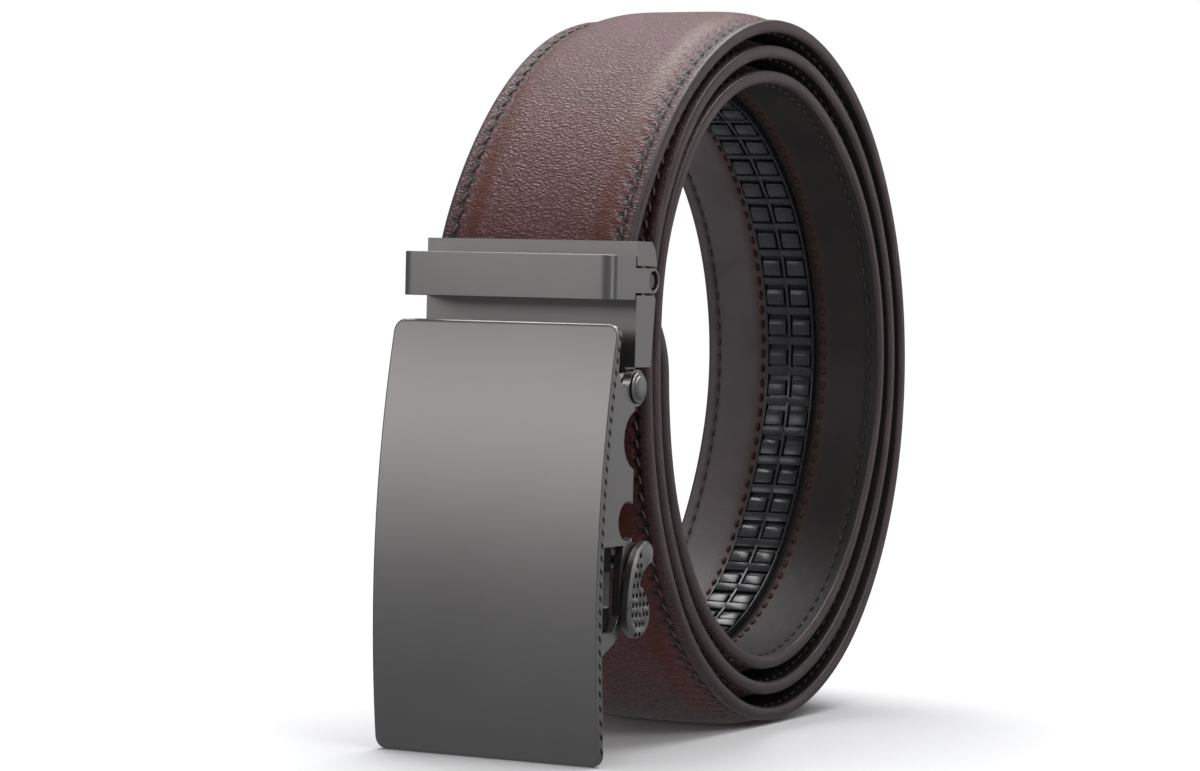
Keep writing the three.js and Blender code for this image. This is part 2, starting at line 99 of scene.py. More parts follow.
def rollPoint(angle):
    radius, spacing = turnShape(angle)
    reach = radius - spacing * angle / 360
    return reach * math.sin(math.radians(angle)), reach * math.cos(math.radians(angle))


def padAt(angle):
    room = turnShape(angle)[1] - roll["edge"] - roll["turnGap"]
    return min(roll["pad"], roll["padRoomShare"] * room)


def middleOf(node, axis):  # in metres
    low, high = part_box(node)
    return (low[axis] + high[axis]) / 2


def strapRoute():  # a dense line along the strap's outer margin, with its way outwards, pad and length
    clampY = -roll["clampShare"] * roll["radius"]
    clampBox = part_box("clamp_body")
    startZ = middleOf("hinge_rivet", 2) / mm + roll["startAboveRivet"]
    clampZ = clampBox[1].z / mm - roll["riseBelowClampTop"]
    turn = 360 / roll["floorSteps"]
    lowest = min(rollPoint(turn * step)[1] - padAt(turn * step) for step in range(roll["floorSteps"]))
    centreZ = -lowest - roll["floorPress"]
    rows = [(clampY, startZ + (clampZ - startZ) * step / roll["clampSteps"], roll["pressedPad"], None)
            for step in range(roll["clampSteps"])]
    joinY, joinZ = rollPoint(roll["joinAngle"])
    aheadY, aheadZ = rollPoint(roll["joinAngle"] + 0.5)
    backY, backZ = rollPoint(roll["joinAngle"] - 0.5)
    heading = Vector((aheadY - backY, aheadZ - backZ)).normalized() * roll["highHandle"] * roll["radius"]
    corners = [Vector((clampY, clampZ)), Vector((clampY, clampZ + roll["lowHandle"] * roll["radius"])),
               Vector((joinY, joinZ + centreZ)) - heading, Vector((joinY, joinZ + centreZ))]
    for step in range(roll["riseSteps"]):
        t = step / roll["riseSteps"]
        spot = (corners[0] * (1 - t) ** 3 + corners[1] * 3 * t * (1 - t) ** 2
                + corners[2] * 3 * t ** 2 * (1 - t) + corners[3] * t ** 3)
        swell = t * t * (3 - 2 * t)
        pad = roll["pressedPad"] + (padAt(roll["joinAngle"]) - roll["pressedPad"]) * swell
        rows.append((spot.x, spot.y, pad, None))
    angle = roll["joinAngle"]
    while angle <= roll["endAngle"]:
        y, z = rollPoint(angle)
        rows.append((y, z + centreZ, padAt(angle), angle))
        angle += 1
    line = np.array([row[:3] for row in rows])
    # the part's own frame is the roll's frame moved along Y, as the clamp's front shows
    clampFront = clampY - roll["pressedPad"] - roll["turnGap"] - roll["clampSheet"]
    shiftY = clampBox[0].y / mm - clampFront
    line[:, 0] += shiftY
    along = np.concatenate([[0], np.cumsum(np.hypot(np.diff(line[:, 0]), np.diff(line[:, 1])))])
    headings = np.stack([np.gradient(line[:, 0], along), np.gradient(line[:, 1], along)], axis=1)
    headings /= np.linalg.norm(headings, axis=1)[:, None]
    angles = np.array([row[3] if row[3] is not None else np.nan for row in rows])
    known = ~np.isnan(angles)
    return {
        "along": along, "y": line[:, 0], "z": line[:, 1], "pad": line[:, 2],
        "outY": -headings[:, 1], "outZ": headings[:, 0],
        "angles": angles[known], "angleAlong": along[known], "shiftY": shiftY,
    }


route = strapRoute()
strapLength = route["along"][-1]
strapX = middleOf("strap_leather", 0) / mm


def alongAt(angle):
    return float(np.interp(angle, route["angles"], route["angleAlong"]))


def padProfile(x):
    return np.clip(1 - (np.abs(x) / (roll["width"] / 2 - roll["margin"])) ** roll["padFlatness"], 0, 1)


def wrapOnRoll(piece, tapered=True):
    # takes a piece that was modelled flat, in mm, onto the roll: x across, y along and z out of the roll
    mesh = piece.data
    flat = np.empty(len(mesh.vertices) * 3)
    mesh.vertices.foreach_get("co", flat)
    flat = flat.reshape(-1, 3)
    keep = mesh.attributes.new("flat", "FLOAT_VECTOR", "POINT")
    keep.data.foreach_set("vector", flat.astype(np.float32).ravel())
    x, s, rise = flat[:, 0].copy(), flat[:, 1], flat[:, 2]
    pathY, pathZ, pad, outY, outZ = (np.interp(s, route["along"], route[column])
                                     for column in ("y", "z", "pad", "outY", "outZ"))
    size = np.hypot(outY, outZ)
    onSkin = np.clip((rise + roll["padFoot"]) / roll["padFade"], 0, 1)
    narrow = np.ones_like(s)
    if tapered:
        share = np.clip((s - (strapLength - roll["tip"])) / roll["tip"], 0, 1)
        narrow = roll["tipWidth"] + (1 - roll["tipWidth"]) * np.sqrt(1 - share ** 2)
    height = rise + pad * padProfile(x) * onSkin * narrow
    past = s - np.clip(s, 0, strapLength)
    y = pathY + outY / size * height + outZ / size * past
    z = pathZ + outZ / size * height - outY / size * past
    placed = np.stack([x * narrow + strapX, y, np.maximum(z, 0)], axis=1) * mm
    mesh.vertices.foreach_set("co", placed.astype(np.float32).ravel())
    mesh.update()


# Camera

view = {
    "eye": (283.633, -581.671, 75.972),    # mm, from the middle of the roll on the floor
    "azimuth": 27.35,                      # degrees, as the next two
    "down": 1.58,
    "roll": 1.348,
    "lens": 110.478,
}


def addCamera():
    azimuth, down, turn = (math.radians(view[name]) for name in ("azimuth", "down", "roll"))
    ahead = Vector((-math.sin(azimuth) * math.cos(down), math.cos(azimuth) * math.cos(down), -math.sin(down)))
    right = ahead.cross(Vector((0, 0, 1))).normalized()
    up = right.cross(ahead)
    turned = right * math.cos(turn) + up * math.sin(turn)
    upright = up * math.cos(turn) - right * math.sin(turn)
    camera = bpy.data.objects.new("camera", bpy.data.cameras.new("camera"))
    camera.data.lens = view["lens"]
    camera.data.clip_start = 0.01
    camera.matrix_world = Matrix((turned, upright, -ahead)).transposed().to_4x4()
    camera.location = (Vector(view["eye"]) + Vector((strapX, route["shiftY"], 0))) * mm
    bpy.context.scene.collection.objects.link(camera)
    bpy.context.scene.camera = camera


# Nodes of a material, written as expressions

class Socket:
    def __init__(self, finish, socket):
        self.finish = finish
        self.socket = socket

    def math(self, operation, *others):
        values = {place: value for place, value in enumerate((self, *others))}
        return self.finish.add("ShaderNodeMath", {"operation": operation}, values)

    def __add__(self, other):
        return self.math("ADD", other)

    def __sub__(self, other):
        return self.math("SUBTRACT", other)

    def __mul__(self, other):
        return self.math("MULTIPLY", other)

    def __truediv__(self, other):
        return self.math("DIVIDE", other)

    def __pow__(self, other):
        return self.math("POWER", other)

    def __abs__(self):
        return self.math("ABSOLUTE")

    def __radd__(self, other):
        return self + other

    def __rsub__(self, other):
        return self * -1 + other

    def least(self, other):
        return self.math("MINIMUM", other)

    def cosine(self):
        return self.math("COSINE")

    def clamped(self):
        return self.finish.add("ShaderNodeClamp", {}, {"Value": self})

    def band(self, centre, width):  # 1 at the centre, falling softly to 0 at width
        return (1 - (abs(self - centre) / width).least(1) ** 2) ** 2

    def step(self, low, high):  # 0 below low, 1 above high, smooth between
        return self.finish.add("ShaderNodeMapRange", {"interpolation_type": "SMOOTHSTEP"},
                               {"Value": self, "From Min": low, "From Max": high})


class Finish:
    def __init__(self, name, **constants):
        self.material = bpy.data.materials.new(name)
        self.material.use_nodes = True
        self.tree = self.material.node_tree
        self.surface = self.tree.nodes["Principled BSDF"]
        for label, value in constants.items():
            self.put(self.surface, label.replace("_", " "), value)

    def put(self, node, label, value):
        socket = node.inputs[label]
        if isinstance(value, Socket):
            self.tree.links.new(value.socket, socket)
        elif isinstance(value, (tuple, list)) and len(value) == 3 and socket.type == "RGBA":
            socket.default_value = (*value, 1)
        else:
            socket.default_value = value

    def add(self, kind, settings, values, output=0):
        node = self.tree.nodes.new(kind)
        for name, value in settings.items():
            setattr(node, name, value)
        for label, value in values.items():
            self.put(node, label, value)
        return Socket(self, node.outputs[output])

    def mix(self, share, first, second):
        node = self.tree.nodes.new("ShaderNodeMix")
        node.data_type = "RGBA"
        for place, value in ((0, share), (6, first), (7, second)):
            self.put(node, place, value)
        return Socket(self, node.outputs[2])

    def split(self, vector):
        node = self.tree.nodes.new("ShaderNodeSeparateXYZ")
        self.put(node, 0, vector)
        return [Socket(self, output) for output in node.outputs]

    def place(self):  # object coordinates, in metres
        return self.add("ShaderNodeTexCoord", {}, {}, "Object")

    def flat(self):  # x across and y along the strap, in mm, before it was rolled up
        return self.add("ShaderNodeAttribute", {"attribute_name": "flat"}, {}, "Vector")

    def stretched(self, vector, scale):
        return self.add("ShaderNodeMapping", {}, {"Vector": vector, "Scale": scale})

    def noise(self, vector, scale, detail, roughness):
        return self.add("ShaderNodeTexNoise", {"noise_dimensions": "3D"},
                        {"Vector": vector, "Scale": scale, "Detail": detail, "Roughness": roughness})

    def cells(self, vector, scale):  # distance to the edge of each pebble
        return self.add("ShaderNodeTexVoronoi", {"feature": "DISTANCE_TO_EDGE"},
                        {"Vector": vector, "Scale": scale})

    def shifted(self, vector, amount, scale):  # the vector pushed about by a noise
        wander = self.add("ShaderNodeTexNoise", {}, {"Vector": vector, "Scale": scale}, "Color")
        centred = self.add("ShaderNodeVectorMath", {"operation": "SUBTRACT"}, {0: wander, 1: (.5, .5, .5)})
        pushed = self.add("ShaderNodeVectorMath", {"operation": "SCALE"}, {0: centred, "Scale": amount})
        return self.add("ShaderNodeVectorMath", {"operation": "ADD"}, {0: vector, 1: pushed})

    def paint(self, colour, roughness=None, height=None, depth=None):
        self.put(self.surface, "Base Color", colour)
        if roughness is not None:
            self.put(self.surface, "Roughness", roughness)
        if height is not None:
            bump = self.add("ShaderNodeBump", {}, {"Height": height, "Distance": depth})
            self.put(self.surface, "Normal", bump)
        return self.material


outerLook = {
    "brown": (0.082, 0.019, 0.018),
    # painted shade, for the grain's creases, the stitch groove and the puckers
    "dark": (0.014, 0.005, 0.005),
    "burnt": (0.084, 0.019, 0.010),
    "mauve": (0.106, 0.029, 0.036),
    # painted highlight on some pebble crests
    "glint": (0.30, 0.18, 0.18),
    "rim": (0.050, 0.028, 0.032),
    # painted shade in the stitch holes
    "hole": (0.003, 0.002, 0.002),
    "relief": 0.00021,      # m
    "grain": 0.68,          # mm, one pebble
    "smoothLine": 11.9,     # mm from the middle of the strap
    "smoothWidth": 2.6,
    "puckerLine": 13.9,
    "pullLine": 14.3,
    "rimEdge": (16.1, 16.5),
    "stitchLine": 15.3,     # mm from the middle of the strap
    "stitchPitch": 3.0,
    "holeSpread": 0.62,     # mm from the line to the holes on each side of it
    "holeWidth": 0.42,
}


def outerLeather():
    look = Finish("outer leather", Specular_IOR_Level=0.42, Sheen_Weight=0.1, Sheen_Roughness=0.3)
    flat = look.flat()
    x, s = look.split(flat)[:2]
    side = abs(x)
    wandering = look.shifted(flat, 0.5, 1.1)
    pebbles = look.cells(look.stretched(wandering, (0.6, 1, 1)), 1 / outerLook["grain"])
    fine = look.cells(look.stretched(wandering, (0.8, 1, 1)), 2.3 / outerLook["grain"])
    folds = look.noise(look.stretched(look.shifted(flat, 2.4, 0.25), (0.2, 1, 1)), 0.8, 3, 0.6)
    patches = look.noise(flat, 0.09, 3, 0.6)
    speck = look.noise(flat, 3.0, 2, 0.6)
    crease = 1 - pebbles.step(0, 0.14)
    crest = pebbles.band(0.2, 0.07) * speck.step(0.45, 0.65) * folds.step(0.4, 0.6)
    smoothBand = side.band(outerLook["smoothLine"], outerLook["smoothWidth"])
    burnt = smoothBand * 0.95 + side.band(10.5, 5) * 0.2
    line = side.band(outerLook["stitchLine"], 0.9)
    turn = 2 * math.pi / outerLook["stitchPitch"]
    # the holes of one row stand half a pitch from those of the other
    between = (s * turn + math.pi).cosine()
    outerRow = side.band(outerLook["stitchLine"] + outerLook["holeSpread"], outerLook["holeWidth"])
    innerRow = side.band(outerLook["stitchLine"] - outerLook["holeSpread"], outerLook["holeWidth"])
    holes = (outerRow * (s * turn).cosine().step(0.45, 0.8) + innerRow * between.step(0.45, 0.8)).clamped()
    pucker = (s * turn + side * 2.2).cosine() * side.band(outerLook["puckerLine"], 1.1)
    pulled = between.step(0.2, 0.9) * side.band(outerLook["pullLine"], 0.8)
    colour = look.mix(patches.step(0.35, 0.7), outerLook["brown"], outerLook["mauve"])
    colour = look.mix((burnt * 0.9).clamped(), colour, outerLook["burnt"])
    colour = look.mix(side.step(*outerLook["rimEdge"]) * 0.8, colour, outerLook["rim"])
    # painted shade: the grain's creases are darkened
    colour = look.mix(crease * 0.24, colour, outerLook["dark"])
    # painted highlight: pale glints on some pebble crests, fewer on the smooth band
    colour = look.mix(crest * (1 - smoothBand * 0.8) * 0.6, colour, outerLook["glint"])
    # painted shade along the stitch groove and in the puckers beside each stitch
    colour = look.mix((line * 0.95 + pulled * 0.6).clamped(), colour, outerLook["dark"])
    # painted shade: the stitch holes are coloured near black
    colour = look.mix(holes * 0.95, colour, outerLook["hole"])
    calm = 1 - smoothBand * 0.6
    height = ((pebbles.least(0.3) * 1.5 + fine.least(0.2) * 0.8) * calm + folds * 0.5 + pucker * 0.4
              + speck * 0.06 - holes * 0.8)
    roughness = 0.31 + crease * 0.2 + patches * 0.12 - burnt * 0.03
    return look.paint(colour, roughness, height, outerLook["relief"])


edgeLook = {
    "deep": (0.044, 0.028, 0.030),
    "worn": (0.068, 0.045, 0.047),
    "relief": 0.00008,           # m
}


def edgePaint():
    look = Finish("edge paint", Specular_IOR_Level=0.42)
    flat = look.flat()
    worn = look.noise(look.stretched(flat, (1, 0.15, 1)), 0.6, 4, 0.6)
    ripple = look.noise(flat, 1.1, 2, 0.5)
    colour = look.mix(worn.step(0.4, 0.75), edgeLook["deep"], edgeLook["worn"])
    return look.paint(colour, 0.34 + ripple * 0.16, ripple, edgeLook["relief"])


liningLook = {
    # pale is the lit side and deep the shaded side: painted shade across the lining
    "pale": ((0.058, 0.044, 0.047), (0.076, 0.059, 0.062)),
    "deep": ((0.015, 0.011, 0.011), (0.023, 0.016, 0.016)),
    "litToShaded": (-9, 9),       # mm across the strap
    "besideTrack": (0.046, 0.018, 0.013),
    "besideLine": 6.4,           # mm from the middle of the strap
    "besideWidth": 2.0,
    "besideFade": 6,             # mm past the track's ends
    # painted shade along the stitch groove
    "seam": (0.014, 0.010, 0.010),
    "relief": 0.00006,           # m
}


def innerLining():
    look = Finish("inner lining", Specular_IOR_Level=0.45)
    flat = look.flat()
    x, s = look.split(flat)[:2]
    side = abs(x)
    pores = look.cells(look.shifted(flat, 0.6, 1.2), 1.9)
    cloud = look.noise(flat, 0.12, 3, 0.55)
    speck = look.noise(flat, 4.0, 2, 0.6)
    trackFrom, trackTo = trackSpan()
    fade = liningLook["besideFade"]
    alongTrack = s.step(trackFrom - fade, trackFrom) * (1 - s.step(trackTo, trackTo + fade))
    besideTrack = side.band(liningLook["besideLine"], liningLook["besideWidth"]) * alongTrack
    seam = side.band(outerLook["stitchLine"], 0.8)
    pale = look.mix(cloud.step(0.3, 0.75), *liningLook["pale"])
    deep = look.mix(cloud.step(0.3, 0.75), *liningLook["deep"])
    # painted shade: the lining turns from pale on the -x side to deep on the +x side
    colour = look.mix(x.step(*liningLook["litToShaded"]), pale, deep)
    colour = look.mix((besideTrack * 0.6).clamped(), colour, liningLook["besideTrack"])
    # painted shade along the stitch groove on the lining
    colour = look.mix((seam * 0.6).clamped(), colour, liningLook["seam"])
    return look.paint(colour, 0.46 + cloud * 0.14, pores.least(0.25) + speck * 0.12, liningLook["relief"])


threadLook = {
    "outer": (0.13, 0.085, 0.08),
    "inner": (0.044, 0.030, 0.030),
    "track": (0.038, 0.013, 0.010),
    "shades": (0.6, 1.5),        # of the colour, between the strands and on them
    "relief": 0.00008,           # m
}


def shaded(colour, shades):
    return [tuple(part * shade for part in colour) for shade in shades]


def threadFinish(place):
    look = Finish(place + " thread", Specular_IOR_Level=0.35)
    strands = look.noise(look.stretched(look.flat(), (6, 1.4, 6)), 1.6, 2, 0.5)
    # darker between the strands is painted shade, and lighter on them is painted highlight
    colour = look.mix(strands.step(0.35, 0.7), *shaded(threadLook[place], threadLook["shades"]))
    return look.paint(colour, 0.6, strands, threadLook["relief"])


trackLook = {
    "black": (0.020, 0.020, 0.023),
    "bloom": (0.036, 0.036, 0.041),
    # painted shade in the gaps between the teeth
    "gap": (0.004, 0.004, 0.005),
    "gapShadeFrom": (0.35, 0.75),     # mm from the teeth's crests towards the strap
    "relief": 0.00001,           # m
}


def trackPlastic():
    look = Finish("track plastic", Specular_IOR_Level=0.55)
    place = look.place()
    rise = look.split(look.flat())[2]
    crest = -track["seat"] - track["base"] - track["tooth"]
    haze = look.noise(place, 260, 3, 0.55)
    grain = look.noise(place, 2600, 2, 0.6)
    colour = look.mix(haze, trackLook["black"], trackLook["bloom"])
    # painted shade: the plastic darkens from the teeth's crests down towards the strap, between the teeth
    colour = look.mix((rise - crest).step(*trackLook["gapShadeFrom"]), colour, trackLook["gap"])
    return look.paint(colour, 0.2 + haze * 0.14, grain, trackLook["relief"])


metalLook = {
    "light": (0.30, 0.288, 0.282),
    "lightRoughness": 0.36,
    "dark": (0.17, 0.162, 0.158),
    "darkRoughness": 0.34,
    "notched": (0.26, 0.25, 0.245),
    "notch": 0.0021,             # m from notch to notch
    "notchSlant": 0.7,
    "notchShadow": (0.008, 0.008, 0.009),
    "pitShadow": (0.006, 0.006, 0.007),
    "shades": (0.96, 1.04),      # of the colour, in cloudy patches
    "relief": 0.000004,          # m, of the brushed hairlines
}


def gunmetalFinish(name, base, roughness, notched=False):
    look = Finish(name, Metallic=1.0)
    place = look.place()
    hairlines = look.noise(look.stretched(place, (60, 400, 3000)), 1.0, 3, 0.6)
    cloud = look.noise(place, 45, 3, 0.5)
    fine = look.noise(place, 9000, 2, 0.6)
    colour = look.mix(cloud.step(0.3, 0.75), *shaded(base, metalLook["shades"]))
    if notched:
        y, z = look.split(place)[1:]
        turn = 2 * math.pi / metalLook["notch"]
        slots = ((z + y * metalLook["notchSlant"]) * turn).cosine().step(0.0, 0.55)
        colour = look.mix(slots * 0.92, colour, metalLook["notchShadow"])
    height = hairlines + fine * 0.6
    return look.paint(colour, roughness + cloud * 0.03 + fine * 0.03, height, metalLook["relief"])


# Modelling helpers

def alone(piece):
    bpy.ops.object.select_all(action="DESELECT")
    piece.select_set(True)
    bpy.context.view_layer.objects.active = piece


def edit(piece):
    alone(piece)
    bpy.ops.object.mode_set(mode="EDIT")


def done():
    bpy.ops.object.mode_set(mode="OBJECT")


def choose(piece, kind, rule):  # in edit mode, selects only the verts, edges or faces that follow the rule
    bpy.ops.mesh.select_mode(type={"verts": "VERT", "edges": "EDGE", "faces": "FACE"}[kind])
    bpy.ops.mesh.select_all(action="DESELECT")
    shape = bmesh.from_edit_mesh(piece.data)
    for part in getattr(shape, kind):
        if rule(part):
            part.select_set(True)
    shape.select_flush_mode()
    bmesh.update_edit_mesh(piece.data)


def middle(part):
    return sum((vertex.co for vertex in part.verts), Vector()) / len(part.verts)


def runs(edge, axis):
    way = (edge.verts[1].co - edge.verts[0].co).normalized()
    return abs(way[axis]) > 0.99


def block(name, low, high):  # a cube between two corners, with its place in its mesh
    low, high = Vector(low), Vector(high)
    bpy.ops.object.select_all(action="DESELECT")
    bpy.ops.mesh.primitive_cube_add(size=1, location=(low + high) / 2)
    piece = bpy.context.object
    piece.name = piece.data.name = name
    piece.scale = high - low
    bpy.ops.object.transform_apply(location=True, rotation=True, scale=True)
    return piece


def cutAcross(axis, places):  # bisects the piece that is in edit mode at each place along an axis
    normal = [0, 0, 0]
    normal[axis] = 1
    for place in places:
        spot = [0, 0, 0]
        spot[axis] = place
        bpy.ops.mesh.select_all(action="SELECT")
        bpy.ops.mesh.bisect(plane_co=spot, plane_no=normal)


def finishWith(piece, kind, **settings):
    modifier = piece.modifiers.new(kind.lower(), kind)
    for name, value in settings.items():
        setattr(modifier, name, value)
    alone(piece)
    bpy.ops.object.modifier_apply(modifier=modifier.name)


def repeated(piece, count, pitch):  # copies along the strap
    finishWith(piece, "ARRAY", count=count, use_relative_offset=False, use_constant_offset=True,
               constant_offset_displace=(0, pitch, 0))


def smooth(piece, degrees):
    alone(piece)
    bpy.ops.object.shade_smooth_by_angle(angle=math.radians(degrees))


def joined(name, pieces):
    bpy.ops.object.select_all(action="DESELECT")
    for piece in pieces:
        piece.select_set(True)
    bpy.context.view_layer.objects.active = pieces[0]
    bpy.ops.object.join()
    pieces[0].name = pieces[0].data.name = name
    return pieces[0]


def wear(piece, *materials):
    piece.data.materials.clear()
    for material in materials:
        piece.data.materials.append(material)


def settle(piece, body, slot, *nodes):
    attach(piece, body)
    if nodes:
        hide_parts(*nodes)


# Strap

strapShape = {
    "cornerRound": 0.5,      # mm
    "cornerSteps": 3,
    "grooveDepth": 0.34,
    "grooveWidth": 0.55,
    "backGrooveDepth": 0.16,
    "crown": 0.1,            # the bead outside the stitches
    "crownLine": 16.4,
    "crownWidth": 0.6,
    "sideBulge": 0.14,
    "sideFrom": 0.3,         # how far in from the side the bulge starts
    "paintFrom": 0.42,       # how far in from the side the paint reaches
    "skin": 0.02,            # how far from a face its own corners are looked for
    "cuts": [0, 2, 4, 6, 7.5, 9, 10, 10.8, 11.6, 12.3, 12.9, 13.4, 13.9, 14.3, 14.7,
             15.0, 15.3, 15.6, 15.9, 16.3, 16.7],
    "pieceCuts": (29, 27),   # two rounds of cuts along the length
}


def shapeStrap(mesh):  # grooves under the stitches, beads outside them and bulging sides
    half = roll["width"] / 2
    points = np.empty(len(mesh.vertices) * 3)
    mesh.vertices.foreach_get("co", points)
    points = points.reshape(-1, 3)
    side = np.abs(points[:, 0])
    top = points[:, 2] > -strapShape["skin"]
    bottom = points[:, 2] < -roll["edge"] + strapShape["skin"]
    groove = np.exp(-((side - outerLook["stitchLine"]) / strapShape["grooveWidth"]) ** 2)
    bead = np.clip(1 - ((side - strapShape["crownLine"]) / strapShape["crownWidth"]) ** 2, 0, 1)
    points[:, 2] += top * (strapShape["crown"] * bead - strapShape["grooveDepth"] * groove)
    points[:, 2] += bottom * strapShape["backGrooveDepth"] * groove
    level = (points[:, 2] + roll["edge"] / 2) / (roll["edge"] / 2)
    bulge = (side > half - strapShape["sideFrom"]) * strapShape["sideBulge"] * np.clip(1 - level ** 2, 0, 1)
    points[:, 0] += np.sign(points[:, 0]) * bulge
    mesh.vertices.foreach_set("co", points.astype(np.float32).ravel())


def makeStrap():
    half = roll["width"] / 2
    strap = block("rolled_strap", (-half, 0, -roll["edge"]), (half, strapLength, 0))
    edit(strap)
    choose(strap, "edges", lambda edge: runs(edge, 1))
    bpy.ops.mesh.bevel(offset=strapShape["cornerRound"], segments=strapShape["cornerSteps"], profile=0.5)
    cutAcross(0, sorted({side * cut for cut in strapShape["cuts"] for side in (-1, 1)}))
    for cuts in strapShape["pieceCuts"]:
        choose(strap, "edges", lambda edge: runs(edge, 1))
        bpy.ops.mesh.subdivide(number_cuts=cuts)
    done()
    wear(strap, outerLeather(), edgePaint(), innerLining())
    for face in strap.data.polygons:
        broad = abs(face.center.x) < half - strapShape["paintFrom"] and abs(face.normal.z) > 0.5
        face.material_index = 1 if not broad else (0 if face.normal.z > 0 else 2)
    shapeStrap(strap.data)
    wrapOnRoll(strap)
    smooth(strap, 50)
    settle(strap, "strap", "outer_leather", "strap_leather", "strap_lining")


stitch = {
    "long": 1.75,            # mm
    "wide": 0.46,
    "thick": 0.5,
    "slant": 14.0,           # degrees, on the outer face
    "sink": 0.1,
    "start": 3,              # mm from the strap's first end
    "end": 4,                # mm from its tip
}


def stitchRow(x, height, first, last, pitch, slant, wide):  # laid flat, stretched balls with blunt ends
    bpy.ops.object.select_all(action="DESELECT")
    bpy.ops.mesh.primitive_uv_sphere_add(segments=8, ring_count=5, radius=0.5)
    row = bpy.context.object
    row.rotation_euler = (math.radians(90), 0, 0)
    bpy.ops.object.transform_apply(location=True, rotation=True, scale=True)
    row.scale = (wide, stitch["long"], stitch["thick"])
    row.rotation_euler = (0, 0, math.radians(slant))
    row.location = (x, first + pitch / 2, height)
    bpy.ops.object.transform_apply(location=True, rotation=True, scale=True)
    repeated(row, int((last - first) / pitch), pitch)
    return row


def makeEdgeStitches(name, height, slant, thread):
    last = strapLength - stitch["end"]
    rows = [stitchRow(side * outerLook["stitchLine"], height, stitch["start"], last, outerLook["stitchPitch"],
                      side * slant, stitch["wide"])
            for side in (-1, 1)]
    stitches = joined(name, rows)
    wrapOnRoll(stitches)
    wear(stitches, thread)
    smooth(stitches, 60)
    settle(stitches, "strap", "outer_leather")


def stitchEdges():
    outerHeight = -strapShape["grooveDepth"] + stitch["thick"] / 2 - stitch["sink"]
    innerHeight = -roll["edge"] + strapShape["backGrooveDepth"] - stitch["thick"] / 2 + stitch["sink"]
    makeEdgeStitches("outer_stitches", outerHeight, stitch["slant"], threadFinish("outer"))
    makeEdgeStitches("inner_stitches", innerHeight, 0, threadFinish("inner"))


# Toothed track

track = {
    "teeth": 41,
    "pitch": 5.8,            # mm
    "fromTip": 38.0,
    "width": 9.6,
    "seat": 2.25,            # mm under the strap's outer margin
    "base": 0.95,
    "tooth": 0.9,
    "sunk": 0.2,             # mm of the teeth, spine and rails inside the base
    "spine": 0.28,           # half its width
    "spineLow": 0.3,         # mm that it stays under the rungs
    "rail": 0.35,
    "railIn": 0.25,          # mm from the track's side to its middle
    "railRise": 0.45,
    "stripRound": 0.12,
    "stripCuts": 98,
    # the tooth and the rung after it: start and end in shares of the pitch, and how far in mm they
    # stay off the spine's side and the track's side, with the share of the tooth's height they slope by
    "toothSpan": (0.1, 0.6),
    "toothKnee": 0.25,
    "toothLow": 0.1,
    "toothOffSpine": 0.45,
    "toothOffSide": 0.75,
    "toothSlope": 0.4,
    "toothRound": 0.09,
    "rungSpan": (0.68, 0.94),
    "rungOffSide": 0.5,
    "rungSlope": 0.45,
    "rungRound": 0.07,
    "stitchLine": 6.2,
    "stitchPitch": 2.9,
    "stitchWide": 0.85,
    "stitchPast": 2,         # mm past the track's ends
}


def trackSpan():  # where the track starts and ends along the strap, in mm
    quarterY, quarterZ = rollPoint(roll["endAngle"] - 180)
    arc = math.radians(math.hypot(quarterY, quarterZ))
    start = roll["endAngle"] - (track["fromTip"] + track["teeth"] * track["pitch"]) / arc
    return alongAt(start), alongAt(start + track["teeth"] * track["pitch"] / arc)


def makeStrips(start, end, floor, crest):  # the track's base with its spine and two rails
    half = track["width"] / 2
    railHalf = track["rail"] / 2
    root = floor + track["sunk"]
    base = block("track", (-half, start, floor), (half, end, -track["seat"]))
    spine = block("spine", (-track["spine"], start, crest + track["spineLow"]), (track["spine"], end, root))
    rails = [block("rail", (x - railHalf, start, floor - track["railRise"]), (x + railHalf, end, root))
             for x in (-half + track["railIn"], half - track["railIn"])]
    for strip in (base, spine, *rails):
        edit(strip)
        choose(strip, "edges", lambda edge: runs(edge, 1))
        bpy.ops.mesh.bevel(offset=track["stripRound"], segments=2)
        choose(strip, "edges", lambda edge: runs(edge, 1))
        bpy.ops.mesh.subdivide(number_cuts=track["stripCuts"])
        done()
    return [base, spine, *rails]


def slopeAndRound(piece, floor, rule, slope, rounding):  # in edit mode, on one tooth or rung
    choose(piece, "verts", lambda vertex: vertex.co.z < floor and rule(vertex.co.y))
    bpy.ops.transform.translate(value=(0, 0, track["tooth"] * slope))
    choose(piece, "edges", lambda edge: middle(edge).z < floor + 0.1)
    bpy.ops.mesh.bevel(offset=rounding, segments=2)
    done()


def makeTooth(start, pitch, floor, crest):  # one tooth and the rung after it, on one side of the spine
    half = track["width"] / 2
    root = floor + track["sunk"]
    first, last = track["toothSpan"]
    low = track["spine"] + track["toothOffSpine"]
    tooth = block("tooth", (low, start + pitch * first, crest + track["toothLow"]),
                  (half - track["toothOffSide"], start + pitch * last, root))
    edit(tooth)
    cutAcross(1, [start + pitch * track["toothKnee"]])
    slopeAndRound(tooth, floor, lambda y: y < start + pitch * 0.2, track["toothSlope"], track["toothRound"])
    first, last = track["rungSpan"]
    rung = block("rung", (0, start + pitch * first, crest),
                 (half - track["rungOffSide"], start + pitch * last, root))
    edit(rung)
    slopeAndRound(rung, floor, lambda y: y > start + pitch * 0.8, track["rungSlope"], track["rungRound"])
    return joined("tooth", [tooth, rung])


